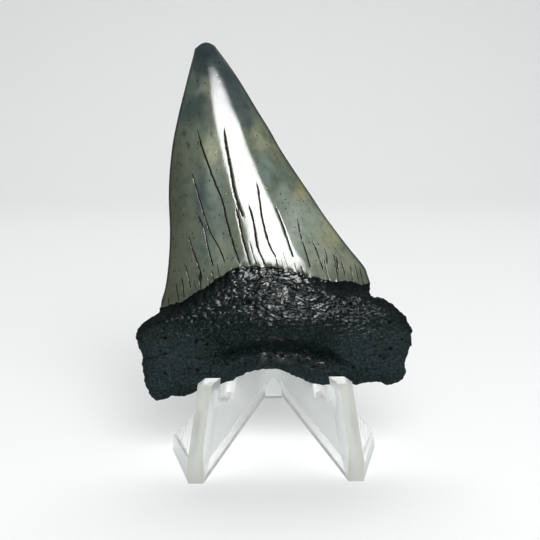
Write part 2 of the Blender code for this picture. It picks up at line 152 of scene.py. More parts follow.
# Cracks in the enamel of the front: half width in mm, then pixels of the photograph, across and down,
# picked along the crack from top to bottom
CRACKS = (
    (0.17, ((197, 123.9), (198.7, 136), (203.6, 152), (214.3, 180.6), (222, 200.5), (226.5, 220),
            (233.4, 245), (239.5, 263))),
    (0.20, ((223.7, 123), (225.4, 141.6), (228.6, 159.5), (231.9, 176), (235.7, 196), (242.6, 216))),
    (0.16, ((235, 203.6), (238.8, 219), (244, 242), (250.3, 265))),
    (0.15, ((248, 200.5), (254, 223.5), (257, 245), (263.3, 260), (266.3, 267))),
    (0.16, ((255.6, 177.6), (258.7, 194), (261, 211), (264.8, 229.6), (271, 248), (276.3, 257))),
    (0.14, ((274.3, 203), (281.6, 222), (287.8, 240), (293, 257))),
    (0.12, ((297, 216), (300.8, 235.7), (306, 252.6), (310.7, 268))),
    (0.12, ((312, 239), (318.4, 255.6), (323, 269.4))),
    (0.10, ((325.3, 249.5), (327.6, 262.5))),
    (0.11, ((336, 255.6), (339, 271))),
    (0.11, ((341.3, 260), (345.2, 275.5))),
    (0.12, ((190.6, 168.4), (197.4, 191), (202.8, 211), (210.5, 232.7), (219, 248), (225, 263))),
    (0.12, ((194.4, 209.7), (203.6, 226.5), (208.2, 248), (212.8, 266))),
    (0.13, ((187.5, 234), (194.4, 254), (199.7, 269.4), (202, 280))),
    (0.11, ((185, 263), (191, 288))),
    (0.10, ((181.4, 275.5), (184.4, 297))),
)
SWELL_ENDS_V = (44.0, 58.0)
SHORT_CRACKS = 40
BACK_CRACKS = 30
CRACK_GAP = 1.0
CRACK_POINTS = 14
SHORT_CRACK_POINTS = 8
ROOT_PITS = 90

# Colours are as they look on a screen, 0 to 255
BODY_COLOUR = (84, 92, 80)
SPECK_COLOUR = (34, 38, 38)
CRACK_EDGE_COLOUR = (80, 64, 46)
CRACK_COLOUR = (14, 11, 10)
# Edge line of the enamel: partly the edges' own darker colour, partly painted dark reflection at the
# silhouette
ENAMEL_RIM_COLOUR_AND_DARK_REFLECTION = (26, 29, 28)
ROOT_COLOURS = ((8, 16, 16), (15, 24, 24))
ROOT_PALE_COLOUR = (28, 37, 38)
ROOT_LIGHT_GRAIN = (42, 52, 51)
ROOT_DARK_GRAIN = (6, 11, 12)
# painted shade for the valleys and pits of the root's relief
ROOT_HOLLOW_SHADE_COLOUR = (6, 10, 10)
ROOT_SHADE_COLOUR = (4, 7, 7)
FLOOR_COLOUR = (238, 239, 239)
SURROUND_COLOUR = (225, 228, 230)
SURROUND_STRENGTH = 0.26
# Patches of the enamel: centre (u, v), half size, strength and colour. They were changed by hand until
# the render's average colours, as another script printed them, came near those of the photograph.
# Some of these patches are painted shade and painted sheen, marked below; the rest are the enamel's own
# colour patches.
PATCHES_AND_PAINTED_LIGHT = (
    ((-14.5, 72.5), (6.0, 6.0), 1.0, (40, 50, 52)),
    # painted shade: a darker band along the left edge
    ((-22.0, 40.0), (3.8, 24.0), 0.9, (66, 70, 58)),
    ((-16.6, 67.0), (1.0, 2.0), 0.7, (78, 89, 83)),
    ((-14.7, 67.4), (1.4, 3.2), 0.9, (38, 50, 51)),
    ((-17.6, 64.0), (1.6, 2.6), 0.7, (64, 76, 72)),
    ((-14.4, 62.8), (1.5, 2.8), 0.8, (98, 106, 96)),
    ((-13.6, 62.2), (0.7, 3.0), 0.7, (112, 106, 92)),
    ((-17.0, 59.3), (4.0, 3.2), 0.9, (48, 61, 60)),
    ((-9.5, 66.0), (3.4, 7.0), 1.0, (46, 56, 58)),
    ((-6.4, 60.2), (3.2, 4.6), 0.9, (56, 66, 68)),
    ((-4.6, 56.0), (1.2, 1.5), 0.8, (52, 60, 68)),
    # painted sheen: the next four patches make the column just left of the highlight paler
    ((-12.7, 49.6), (1.7, 4.0), 0.9, (136, 139, 118)),
    ((-12.4, 43.0), (2.0, 4.0), 0.8, (108, 118, 112)),
    ((-11.8, 34.0), (2.2, 8.0), 0.8, (93, 104, 97)),
    ((-10.2, 28.4), (1.6, 3.2), 0.8, (108, 115, 101)),
    ((-15.1, 40.6), (1.4, 5.2), 0.85, (54, 66, 70)),
    ((-22.2, 27.5), (1.8, 5.0), 0.7, (82, 84, 66)),
    ((-14.4, 32.0), (1.0, 5.0), 0.7, (78, 90, 84)),
    ((-2.4, 53.0), (1.8, 3.4), 0.9, (120, 124, 102)),
    ((0.6, 50.4), (1.4, 2.2), 0.8, (104, 102, 80)),
    ((1.8, 46.4), (1.8, 2.2), 0.7, (88, 98, 86)),
    ((2.6, 40.5), (2.4, 3.6), 0.8, (104, 117, 107)),
    ((6.2, 41.2), (1.5, 3.0), 0.9, (128, 118, 72)),
    ((2.3, 44.8), (2.0, 2.8), 0.85, (78, 87, 78)),
    ((-1.2, 46.4), (1.4, 3.4), 0.8, (96, 111, 108)),
    ((6.5, 34.0), (7.5, 6.8), 0.95, (120, 129, 118)),
    ((12.5, 32.5), (2.6, 4.6), 0.7, (128, 128, 98)),
    ((4.8, 33.5), (1.8, 5.0), 0.8, (130, 140, 131)),
    ((-1.9, 55.2), (1.0, 1.8), 0.8, (86, 92, 74)),
    ((12.0, 23.0), (9.0, 2.6), 0.6, (100, 106, 92)),
    ((16.4, 26.4), (2.6, 2.8), 0.7, (114, 119, 101)),
    ((10.0, 27.2), (2.6, 2.8), 0.8, (126, 132, 118)),
    ((-22.5, 19.5), (3.0, 3.4), 0.7, (76, 77, 62)),
)
# Three dark spots: pixel of the photograph where each was seen, half size in mm, strength and colour
SPOTS = (
    ((184, 135), (0.6, 0.6), 0.8, (36, 44, 44)),
    ((189, 144), (0.5, 0.5), 0.8, (40, 46, 44)),
    ((211, 134), (0.3, 0.5), 0.8, (54, 60, 60)),
)
# Finishes of the root in the order of their material indexes: gloss, then roughness where plain and
# where wrinkled. The enamel comes after them.
ROOT_FINISHES = (
    ("matt_root", 0.025, 0.78, 0.52),
    ("satin_root", 0.07, 0.42, 0.13),
    ("glossy_root", 0.28, 0.30, 0.12),
)
ENAMEL = len(ROOT_FINISHES)

# Parts of the stand by which its faces are told apart, and the joint of its two ribs on the spine
POST_INNER_X = 12.0
WING_INNER_X = 16.0
SPINE_HALF_WIDTH = 1.9
SPINE_BOTTOM_Z = 10.6
RIB_JOINT_EDGE_Z = 13.8
RIB_JOINT_TOP_Z = 16.2
RIB_JOINT_OUT = 0.7
RIB_JOINT_UNDERCUT = 0.8
WING_FOOT_Z = 3.0
WEB_BOTTOM_Z = 8.0
STAND_EDGE_ROUND = 0.22
# Finishes of the stand in the order of their material indexes: colour, clearness and roughness
CLEAR, SATIN, MISTY, POLISHED, SHADED = range(5)
STAND_FINISHES = (
    ("clear_plastic", (252, 253, 252), 1.0, 0.28),
    ("satin_plastic", (186, 188, 181), 0.45, 0.7),
    ("misty_plastic", (232, 237, 235), 0.75, 0.5),
    ("polished_plastic", (252, 253, 253), 1.0, 0.08),
    ("shaded_plastic", (150, 155, 153), 0.3, 0.6),
)
TOOTH_IOR = 1.45
PLASTIC_IOR = 1.49

# Camera, in the stand frame turned by the yaw, and the side of the square photograph. The lens and the
# pitch were chosen, and the rest was fitted to points picked on the photograph.
PHOTO_SIDE_PX = 540
SENSOR_MM = 36.0
CAMERA_LENS_MM = 60.0
CAMERA_PITCH = math.radians(10.0)
CAMERA_ROLL = math.radians(0.47)
CAMERA_YAW = math.radians(0.87)
CAMERA_PLACE = (-0.90, -174.63, 75.2)

# What the lights point at, and the size of both window lights, in metres
LIGHT_AIM = (0.0, 0.0, 0.045)
WALL_LIGHT_AIM = (0.0, 0.56, 0.1)
WINDOW_SIZE = (0.51, 0.33)

# A place seen on the crown is found from a first guess of its height, made better step by step
SIGHT_FIRST_W = 6.0
SIGHT_STEPS = 6


def smooth_curve(points, places):
    """Points at the given parts of its length on a Catmull-Rom curve through the given points."""
    pts = np.array(points, float)
    ends = np.vstack([2 * pts[0] - pts[1], pts, 2 * pts[-1] - pts[-2]])
    fine = []
    for i in range(1, len(ends) - 2):
        a, b, c, d = ends[i - 1:i + 3]
        for t in np.linspace(0.0, 1.0, 12, endpoint=False):
            fine.append(0.5 * (2 * b + (c - a) * t + (2 * a - 5 * b + 4 * c - d) * t ** 2
                               + (3 * b - a - 3 * c + d) * t ** 3))
    fine.append(pts[-1])
    fine = np.array(fine)
    reach = np.concatenate([[0.0], np.cumsum(np.linalg.norm(np.diff(fine, axis=0), axis=1))])
    wanted = np.asarray(places) * reach[-1]
    return np.column_stack([np.interp(wanted, reach, fine[:, k]) for k in range(2)])


def ramp(low, high, value):
    """Smooth step from 0 at low to 1 at high."""
    part = np.clip((value - low) / (high - low), 0.0, 1.0)
    return part * part * (3.0 - 2.0 * part)


def edge_round(distance, radius):
    """Quarter-ellipse rise from 0 at an edge to 1 at the given distance from it."""
    part = np.clip(distance / radius, 0.0, 1.0)
    return np.sqrt(1.0 - (1.0 - part) ** 2)


def distance_to_path(points, path):
    """Shortest distance from each point to a path of straight pieces."""
    best = np.full(len(points), 1.0e9)
    for a, b in zip(path[:-1], path[1:]):
        along = b - a
        part = np.clip(((points - a) @ along) / (along @ along), 0.0, 1.0)
        gap = points - (a + part[:, None] * along)
        best = np.minimum(best, np.hypot(gap[:, 0], gap[:, 1]))
    return best


GRADIENTS = np.array([g for g in product((-1, 0, 1), repeat=3) if np.abs(g).sum() == 2], float)


def noise(x, y, z=0.0, seed=0):
    """Gradient noise, about -1 to 1, with cells of size 1."""
    points = np.column_stack(np.broadcast_arrays(x, y, z)).astype(float)
    base = np.floor(points).astype(np.int64)
    part = points - base
    fade = part ** 3 * (part * (6.0 * part - 15.0) + 10.0)
    total = np.zeros(len(points))
    for corner in product((0, 1), repeat=3):
        cell = base + corner
        mixed = (cell[:, 0] * 73856093) ^ (cell[:, 1] * 19349663) ^ (cell[:, 2] * 83492791)
        mixed = mixed ^ ((seed + SEED) * 668265263)
        mixed = (mixed ^ (mixed >> 13)) * 1274126177
        mixed = mixed ^ (mixed >> 16)
        weight = np.prod(np.where(corner, fade, 1.0 - fade), axis=1)
        total += weight * np.sum(GRADIENTS[mixed % len(GRADIENTS)] * (part - corner), axis=1)
    return total


def layered_noise(x, y, z=0.0, seed=0, layers=3):
    """Noise in layers, each with half the size and half the height of the one before."""
    total = 0.0
    for layer in range(layers):
        size = 2.0 ** layer
        total = total + noise(x * size, y * size, z, seed + 17 * layer) / size
    return total


def linear(colour):
    """Screen colour, 0 to 255, to linear light."""
    part = np.asarray(colour, float) / 255.0
    return np.where(part <= 0.04045, part / 12.92, ((part + 0.055) / 1.055) ** 2.4)


def spread(columns):
    """Places across the tooth, a little closer together near both edges."""
    even = np.linspace(0.0, 1.0, columns + 1)
    return 0.6 * even + 0.4 * (1.0 - np.cos(np.pi * even)) / 2.0


def tooth_rows():
    """Rows of points (u, v) from the root's edge to the tip, their places across, and both outline sides.

    The row numbered ROOT_ROWS follows the line between root and enamel, on the front and on the back.
    """
    steps = np.linspace(0.0, 1.0, ROOT_ROWS + 1)
    up_root = 0.65 * steps + 0.35 * (1.0 - np.cos(0.5 * np.pi * steps))
    steps = np.linspace(0.0, 1.0, CROWN_ROWS + 1)
    up_crown = 0.75 * steps + 0.25 * np.sin(0.5 * np.pi * steps)
    left, right = (np.vstack([smooth_curve(root + crown[:1], up_root)[:-1], smooth_curve(crown, up_crown)])
                   for root, crown in ((ROOT_LEFT, CROWN_LEFT), (ROOT_RIGHT, CROWN_RIGHT)))

    places = spread(COLUMNS)
    border = smooth_curve(BORDER, places)
    back_border = np.array(border)
    back_border[:, 1] = back_border_height(border[:, 0])
    tip = np.column_stack([places, TIP_ROUND * np.sin(np.pi * places)])
    bottom = smooth_curve(ROOT_BOTTOM, places)
    bends = {name: line - (line[0] + places[:, None] * (line[-1] - line[0]))
             for name, line in (("bottom", bottom), ("front", border), ("back", back_border), ("tip", tip))}

    rows = {"front": [], "back": []}
    for j, (a, b) in enumerate(zip(left, right)):
        straight = a + places[:, None] * (b - a)
        for side in rows:
            if j <= ROOT_ROWS:
                part, below, above = ramp(0.0, 1.0, up_root[j]), bends["bottom"], bends[side]
            else:
                part, below, above = ramp(0.0, 1.0, up_crown[j - ROOT_ROWS]), bends[side], bends["tip"]
            rows[side].append(straight + (1.0 - part) * below + part * above)
    return rows, places, left, right


def border_height(u):
    """v of the line between enamel and root at u, on the front."""
    line = np.array(BORDER)
    return np.interp(u, line[:, 0], line[:, 1])


def back_border_height(u):
    """v of the same line on the back, between the same two corners."""
    (u0, v0), (u1, v1) = BORDER[0], BORDER[-1]
    part = np.clip((u - u0) / (u1 - u0), 0.0, 1.0)
    return v0 + (v1 - v0) * part - 4.0 * BACK_BORDER_SAG * part * (1.0 - part)


def camera_axes():
    """Place of the camera, and its directions right, up and backward, in the stand frame."""
    turn = Matrix.Rotation(-CAMERA_YAW, 3, "Z")
    forward = Vector((0.0, math.cos(CAMERA_PITCH), -math.sin(CAMERA_PITCH)))
    right = Vector((1.0, 0.0, 0.0))
    up = right.cross(forward)
    rolled_right = math.cos(CAMERA_ROLL) * right - math.sin(CAMERA_ROLL) * up
    rolled_up = math.sin(CAMERA_ROLL) * right + math.cos(CAMERA_ROLL) * up
    return turn @ Vector(CAMERA_PLACE), turn @ rolled_right, turn @ rolled_up, turn @ -forward


def crown_front(u, v):
    """Height w of the plain crown's front over its back, with straight lines between its points."""
    left_u, right_u = (np.interp(v, *np.array(side)[:, ::-1].T) for side in (CROWN_LEFT, CROWN_RIGHT))
    side = min(abs(2.0 * (u - left_u) / (right_u - left_u) - 1.0), 1.0)
    top = np.interp(v, *np.array(CROWN_CREST_W).T)
    return CROWN_EDGE_W + (top - CROWN_EDGE_W) * (1.0 - side ** CROWN_PROFILE_POWER)


def seen_on_crown(pixel):
    """Point (u, v), to 0.1 mm, that the camera sees on the crown's front at a pixel of the photograph."""
    place, right, up, backward = (np.array(part) for part in camera_axes())
    across, down = (np.array(pixel) - 0.5 * PHOTO_SIDE_PX) / (CAMERA_LENS_MM / SENSOR_MM * PHOTO_SIDE_PX)
    ray = across * right - down * up - backward
    slant = np.array([0.0, math.sin(TOOTH_LEAN), math.cos(TOOTH_LEAN)])
    outward = np.array([0.0, -math.cos(TOOTH_LEAN), math.sin(TOOTH_LEAN)])
    start = place - np.array([0.0, TOOTH_BACK_Y, TOOTH_BACK_Z])
    w = SIGHT_FIRST_W
    for _ in range(SIGHT_STEPS):
        met = start + (w - start @ outward) / (ray @ outward) * ray
        u, v = met[0], met @ slant
        w = crown_front(u, v)
    return round(float(u), 1), round(float(v), 1)


def tooth_depths(u, v, across, edge_gap, bottom_gap):
    """Front, back and rim of the plain tooth, w, at each point; and how much it lies in a seat."""
    crest = smooth_curve(CROWN_CREST_W, np.linspace(0.0, 1.0, 160))
    above = v - border_height(u)
    in_crown = ramp(*CROWN_BLEND_ABOVE, above)
    tip_near = ramp(*TIP_EDGE_V, v)
    crown_edge = CROWN_EDGE_W + (TIP_EDGE_W - CROWN_EDGE_W) * tip_near
    near_bottom = 1.0 - ramp(0.0, THIN_BOTTOM_HEIGHT, bottom_gap)
    between_lobes = 1.0 - ramp(*LOBE_INNER_U, np.abs(u))
    root_edge = LOBE_EDGE_W + (ROOT_BOTTOM_EDGE_W - LOBE_EDGE_W) * near_bottom * between_lobes
    edge = root_edge + (crown_edge - root_edge) * ramp(*EDGE_BLEND_ABOVE, above)

    side = np.abs(2.0 * across - 1.0)
    crown_top = np.interp(v, crest[:, 0], crest[:, 1])
    tip_taper = edge_round(TIP_V - v, TIP_TAPER)
    crown = edge + (crown_top - edge) * (1.0 - side ** CROWN_PROFILE_POWER) * tip_taper

    rise = v - BULGE_CENTRE[1]
    fall = np.where(rise > 0.0, (np.abs(rise) / BULGE_ABOVE) ** 2, (np.abs(rise) / BULGE_BELOW) ** 3)
    bulge = np.exp(-((u - BULGE_CENTRE[0]) / BULGE_HALF_WIDTH) ** 2 - fall)
    hollow_edge = HOLLOW_TOP_V - HOLLOW_ARCH * u * u + 0.7 * noise(u / 2.6, 0.5, seed=3)
    in_hollow = 1.0 - ramp(HOLLOW_HALF_WIDTH - 3.5, HOLLOW_HALF_WIDTH + 5.0, np.abs(u - HOLLOW_U))
    in_hollow = in_hollow * (0.88 + 0.30 * noise(u / 3.4, 0.5, seed=4))
    hollow = (1.0 - ramp(-1.1, 0.6, v - hollow_edge)) * in_hollow
    ridge_line = v - hollow_edge + HOLLOW_RIDGE_BELOW + 0.5 * noise(u / 2.2, 0.5, seed=5)
    ridge = np.exp(-(ridge_line / RIDGE_HALF_SIZE) ** 2) * in_hollow
    ridge = ridge * (1.0 + 0.35 * noise(u / 1.7, 0.5, seed=6))
    lower = np.maximum(LOBE_FALL_TOP_V - v, 0.0)
    lobe = LOBE_W - LOBE_FALL * lower ** 2 / (lower + 4.0)
    root_top = lobe + BULGE_W * bulge - HOLLOW_DEPTH * hollow + HOLLOW_RIDGE_W * ridge
    at_seat = (1.0 - ramp(SEAT_TOP_V, SEAT_TOP_V + 1.2, v)) * ramp(*SEAT_INNER_U, np.abs(u))
    at_seat = at_seat * (1.0 - ramp(*SEAT_OUTER_U, np.abs(u)))
    root_top = root_top + (np.minimum(root_top, SEAT_W) - root_top) * at_seat
    rounding = edge_round(edge_gap, ROOT_EDGE_ROUND) * edge_round(bottom_gap, ROOT_BOTTOM_ROUND)
    root = edge + (root_top - edge) * rounding
    front = root + (crown - root) * in_crown
    back = edge * (1.0 - edge_round(edge_gap, BACK_EDGE_ROUND))
    return front, back, edge, at_seat


def root_relief(u, v, below, seed):
    """Curled wrinkles, lumps and grit of the root's bony surface, and how much it shows wrinkles."""
    # Slow swirls stir the places first, so that the ridges curl every way
    stir_u = u + 1.5 * noise(u / 2.3, v / 2.0, seed=seed) + 0.5 * noise(u / 0.9, v / 0.9, seed=seed + 8)
    stir_v = v + 1.3 * noise(u / 2.1, v / 2.0, 5.5, seed=seed + 1)
    stir_v = stir_v + 0.4 * noise(u / 0.9, v / 0.9, 5.5, seed=seed + 9)
    worms = 0.5 - np.sqrt(np.abs(noise(stir_u / 0.95, stir_v / 0.60, seed=seed + 2)))
    beads = noise(stir_u / 0.62, stir_v / 0.42, 3.0, seed=seed + 3)
    lumps = layered_noise(u / 3.4, v / 2.6, 1.0, seed=seed + 4, layers=2)
    grit = noise(u / 0.55, v / 0.48, 2.0, seed=seed + 5)
    streaks = noise(u / 2.2 + 0.8 * lumps, (v - 0.02 * u * u) / 0.6 + 0.5 * lumps, 4.0, seed=seed + 6)
    fringe = noise(u / 0.95 + 0.6 * lumps, below / 1.6, 6.0, seed=seed + 7)
    wrinkled = ramp(7.0, 15.0, v + 0.006 * u * u + 1.6 * lumps) * (1.0 - 0.65 * ramp(13.0, 25.0, np.abs(u)))
    ridge_gap = v - RIDGE_V + HOLLOW_ARCH * u * u
    on_ridge = np.exp(-(ridge_gap / RIDGE_HALF_SIZE) ** 2) * (1.0 - ramp(8.0, 12.0, np.abs(u - HOLLOW_U)))
    wrinkled = np.maximum(wrinkled, 0.75 * on_ridge)
    by_border = np.exp(-(below / 2.4) ** 2)
    relief = wrinkled * (1.0 - 0.7 * by_border) * (0.52 * worms + 0.56 * beads)
    relief = relief + wrinkled * by_border * 0.80 * fringe
    relief = relief + 0.18 * lumps + (0.12 + 0.10 * (1.0 - wrinkled)) * grit
    relief = relief + (1.0 - wrinkled) * 0.08 * streaks
    # A shallow fold runs across each lobe
    fold_gap = v - FOLD_V + 0.05 * (np.abs(u) - 18.0) + 0.8 * noise(u / 4.0, 0.5, seed=seed + 10)
    fold = np.exp(-(fold_gap / 0.40) ** 2) - 0.6 * np.exp(-((fold_gap + 1.0) / 0.7) ** 2)
    fold = FOLD_DEPTH * fold * ramp(9.0, 13.0, np.abs(u))
    relief = relief - fold * (0.7 + 0.9 * noise(u / 5.0, 0.5, seed=seed + 11))
    return relief, wrinkled


def root_pits(u, v, seed):
    """Small round or flattened holes in the root: depth at each point."""
    rng = np.random.default_rng(seed)
    depth = np.zeros_like(u)
    for _ in range(ROOT_PITS):
        pit_u, pit_v = rng.uniform(-27.0, 27.0), rng.uniform(3.0, 20.0)
        size = rng.uniform(0.22, 0.45)
        deep = rng.uniform(0.25, 0.6)
        gap = np.hypot(u - pit_u, (v - pit_v) * rng.uniform(1.0, 1.6))
        depth = np.maximum(depth, deep * np.exp(-(gap / size) ** 2))
    return depth


def uneven_edge(u, v, layer, seed):
    """Coarse and fine unevenness of the root's edge, in mm."""
    coarse = 0.24 * noise(u / 1.6, v / 1.6, layer, seed=seed)
    return coarse + 0.20 * noise(u / 0.7, v / 0.7, layer, seed=seed + 1)


def crack_plan(front):
    """Every crack: its half width, and points (u, v) from top to bottom."""
    rng = np.random.default_rng(SEED + (0 if front else 1))
    plan = []
    if front:
        for width, pixels in CRACKS:
            points = [seen_on_crown(pixel) for pixel in pixels]
            plan.append((width, smooth_curve(points, np.linspace(0.0, 1.0, CRACK_POINTS))))
    number = SHORT_CRACKS if front else BACK_CRACKS
    first_u, last_u = BORDER[0][0], BORDER[-1][0]
    for i in range(number):
        low_u = first_u + (last_u - first_u) * (i + rng.uniform(0.1, 0.9)) / number
        low_v = (border_height(low_u) if front else back_border_height(low_u)) + rng.uniform(-0.3, 0.5)
        long = rng.uniform(1.8, 6.5) if front else rng.uniform(2.0, 26.0) * rng.uniform(0.3, 1.0)
        slope = 0.30 - 0.008 * abs(low_u) + rng.uniform(-0.05, 0.05)
        width = rng.uniform(0.045, 0.095) if front else rng.uniform(0.04, 0.10)
        near = [abs(np.interp(low_v + 0.5, track[::-1, 1], track[::-1, 0]) - low_u)
                for _, track in plan if track[-1, 1] < low_v + 2.0]
        if min(near, default=9.0) > CRACK_GAP:
            heights = np.linspace(low_v + long, low_v, SHORT_CRACK_POINTS)
            plan.append((width, np.column_stack([low_u - slope * (heights - low_v), heights])))
    return plan


def crack_field(u, v, plan):
    """Signed distance to the nearest crack and its half width; far from a crack the width is below 0."""
    field = np.full(len(v), 9.0)
    half_width = np.full(len(v), -1.0)
    for number, (width, track) in enumerate(plan):
        top, bottom = track[0, 1], track[-1, 1]
        heights = np.linspace(bottom - 0.4, top, 200)
        middle = np.interp(heights, track[::-1, 1], track[::-1, 0])
        wander = 0.09 * noise(heights / 1.3, number * 7.7, seed=21)
        middle += wander + 0.04 * noise(heights / 0.45, number * 3.3, seed=22)
        here = width * (1.0 + 0.45 * noise(heights / 0.8, number * 5.1, seed=23))
        here *= ramp(0.0, 0.16 * (top - bottom), top - heights) * ramp(-0.4, 0.2, heights - bottom)
        near = np.nonzero((v > bottom - 0.4) & (v < top))[0]
        gap = u[near] - np.interp(v[near], heights, middle)
        closer = np.abs(gap) < np.minimum(0.5, np.abs(field[near]))
        field[near[closer]] = gap[closer]
        half_width[near[closer]] = np.interp(v[near[closer]], heights, here)
    return field, half_width


def patch_colours(u, v):
    """Linear colour of the enamel from its patches, with soft uneven edges; some patches are painted shade
    and painted sheen.
    """
    warp_u = u + 0.8 * layered_noise(u / 2.6, v / 4.5, 8.0, seed=31)
    warp_v = v + 1.8 * layered_noise(u / 2.6, v / 4.5, 9.0, seed=32)
    colour = np.tile(linear(BODY_COLOUR), (len(u), 1))
    spots = [(seen_on_crown(pixel), *look) for pixel, *look in SPOTS]
    for (at_u, at_v), (half_u, half_v), strength, tone in [*PATCHES_AND_PAINTED_LIGHT, *spots]:
        gap = ((warp_u - at_u) / half_u) ** 2 + ((warp_v - at_v) / half_v) ** 2
        near = strength * np.exp(-gap ** 1.4)
        colour = colour + (linear(tone) - colour) * near[:, None]
    return colour


def strip(lower, upper):
    """Faces between two rows of points, one of which may have twice as many columns."""
    low_step = 2 if len(lower) > len(upper) else 1
    high_step = 2 if len(upper) > len(lower) else 1
    faces = []
    for i in range(min(len(lower), len(upper)) - 1):
        low = lower[i * low_step:(i + 1) * low_step + 1]
        high = upper[i * high_step:(i + 1) * high_step + 1]
        if low_step == 2:
            faces += [(low[0], low[1], high[0]), (low[1], low[2], high[1]), (low[1], high[1], high[0])]
        elif high_step == 2:
            faces += [(low[0], high[1], high[0]), (low[1], high[2], high[1]), (low[0], low[1], high[1])]
        else:
            faces.append((low[0], low[1], high[1], high[0]))
    return faces


def tooth_place(u, v, w):
    """Points of the tooth's plane, placed on the stand, in metres."""
    y = TOOTH_BACK_Y + v * math.sin(TOOTH_LEAN) - w * math.cos(TOOTH_LEAN)
    z = TOOTH_BACK_Z + v * math.cos(TOOTH_LEAN) + w * math.sin(TOOTH_LEAN)
    return np.column_stack([u - OBJECT_CENTRE_X, y - OBJECT_CENTRE_Y, z]) * MM


def make_tooth():
    """The fossil tooth on a fine grid, with its relief, its cracks and what its materials need."""
    rows, places, left, right = tooth_rows()
    last = len(left) - 1
    bottom_path = smooth_curve(ROOT_BOTTOM, np.linspace(0.0, 1.0, 90))
    outline = np.vstack([left[:0:-5], bottom_path, right[5::5]])

    # Number the points: the front has all columns, the back every second one, and the rim is shared
    ids = {"front": [], "back": []}
    points, across, rim = [], [], []
    count = 0
    for side in rows:
        for j, row in enumerate(rows[side]):
            if side == "back" and j in (0, last):
                ids[side].append(ids["front"][j])
                continue
            keep = slice(None) if side == "front" else slice(2, -1, 2)
            at_rim = np.full(len(row), j in (0, last))
            at_rim[[0, -1]] = True
            new = np.arange(count, count + len(row[keep]))
            count += len(new)
            if side == "back":
                ends = ids["front"][j]
                ids[side].append(np.concatenate([ends[:1], new, ends[-1:]]))
            else:
                ids[side].append(new)
            points.append(row[keep])
            across.append(places[keep])
            rim.append(at_rim[keep])
        if side == "front":
            front_count = count
    points, across, rim = np.vstack(points), np.concatenate(across), np.concatenate(rim)
    u, v = points[:, 0], points[:, 1]
    is_front = np.arange(count) < front_count

    # Plain form, and the height above the line where the enamel ends
    edge_gap = distance_to_path(points, outline)
    bottom_gap = distance_to_path(points, bottom_path)
    front, back, edge, at_seat = tooth_depths(u, v, across, edge_gap, bottom_gap)
    above = v - np.where(is_front, border_height(u), back_border_height(u))

    # Cracks and surface detail
    field, crack_width = np.zeros(count), np.zeros(count)
    relief, wrinkled = np.zeros(count), np.zeros(count)
    for side, chosen in (("front", is_front), ("back", ~is_front)):
        plan = crack_plan(side == "front")
        field[chosen], crack_width[chosen] = crack_field(u[chosen], v[chosen], plan)
        seed = 50 if side == "front" else 70
        below = np.maximum(-above, 0.0)[chosen]
        relief[chosen], wrinkled[chosen] = root_relief(u[chosen], v[chosen], below, seed)
        relief[chosen] -= root_pits(u[chosen], v[chosen], seed)
    groove = 0.5 * np.maximum(crack_width - 0.06, 0.0) * np.exp(-(field / 0.28) ** 2)
    root_part = 1.0 - ramp(-0.15, 0.15, above)
    relief *= ramp(0.0, 1.2, edge_gap) * (1.0 - 0.6 * at_seat)
    seam = 0.30 * np.exp(-((above + 0.35) / 0.35) ** 2) * ramp(0.3, 1.0, edge_gap)
    swell = 0.022 * noise(u / 2.4, v / 9.0, seed=43) * ramp(0.4, 2.0, edge_gap)
    swell = swell * (1.0 - ramp(*SWELL_ENDS_V, v))
    detail = (swell - groove) * (1.0 - root_part) + relief * root_part - seam
    w = np.where(is_front, front + detail, back - np.minimum(0.0, 0.7 * detail - 0.1))
    w = np.where(rim, edge, w)

    # Uneven edge of the root and of the enamel
    ragged = root_part * (1.0 - ramp(0.0, 2.5, edge_gap))
    shift_u = ragged * uneven_edge(u, v, 1.0, 44)
    shift_v = ragged * uneven_edge(u, v, 7.0, 46)
    shift_w = ragged * 0.30 * noise(u / 1.4, v / 1.4, 9.0, seed=48)
    by_seam = np.exp(-((above + 0.4) / 1.1) ** 2) * ramp(0.3, 2.0, edge_gap)
    seam_shift = 0.30 * noise(u / 1.3, 0.5, seed=41) + 0.30 * noise(u / 0.55, 0.5, seed=42)
    shift_v = shift_v + by_seam * seam_shift

    # Faces, and which material each takes: matt, satin or glossy root, or enamel
    faces, kinds = [], []
    patchy = layered_noise(u / 1.8, v / 1.4, seed=49, layers=3)
    satin = (v + 2.2 * patchy > ROOT_MATT_BELOW) & (edge_gap + 1.2 * patchy > ROOT_MATT_EDGE)
    satin &= (above < -ROOT_MATT_BAND) | (np.abs(u - 1.0) < ROOT_BAND_SATIN_HALF_WIDTH + 2.0 * patchy)
    satin &= np.abs(u) < ROOT_SATIN_HALF_WIDTH + 5.0 * patchy
    on_ridge = (v < RIDGE_TOP_V) & (wrinkled > 0.25)
    on_ridge &= np.abs(u - RIDGE_GLOSS_U) < RIDGE_GLOSS_HALF_WIDTH + 4.0 * patchy
    satin |= on_ridge
    clusters = noise(u / 2.6, v / 1.7, 3.0, seed=51) + 0.4 * np.exp(-(above / 3.0) ** 2)
    glossy = satin & (v + 2.5 * patchy > ROOT_GLOSSY_ABOVE) & (clusters > 0.03)
    glossy &= np.abs(u - 0.5) < ROOT_GLOSSY_HALF_WIDTH + 3.0 * patchy
    glossy |= on_ridge & (patchy > 0.05)
    gloss = satin.astype(int) + glossy.astype(int)
    for side in ids:
        for j in range(last):
            made = strip(ids[side][j], ids[side][j + 1])
            faces += made if side == "front" else [face[::-1] for face in made]
            kinds += [ENAMEL if j >= ROOT_ROWS else int(gloss[face[0]]) for face in made]
    mesh = bpy.data.meshes.new("fossil_tooth")
    placed = tooth_place(u + shift_u, v + shift_v, w + shift_w)
    mesh.from_pydata(placed, [], [tuple(map(int, face)) for face in faces])
    mesh.polygons.foreach_set("use_smooth", np.ones(len(mesh.polygons), bool))
    for finish in ROOT_FINISHES:
        mesh.materials.append(root_material(*finish))
    mesh.materials.append(enamel_material())
    mesh.polygons.foreach_set("material_index", kinds)

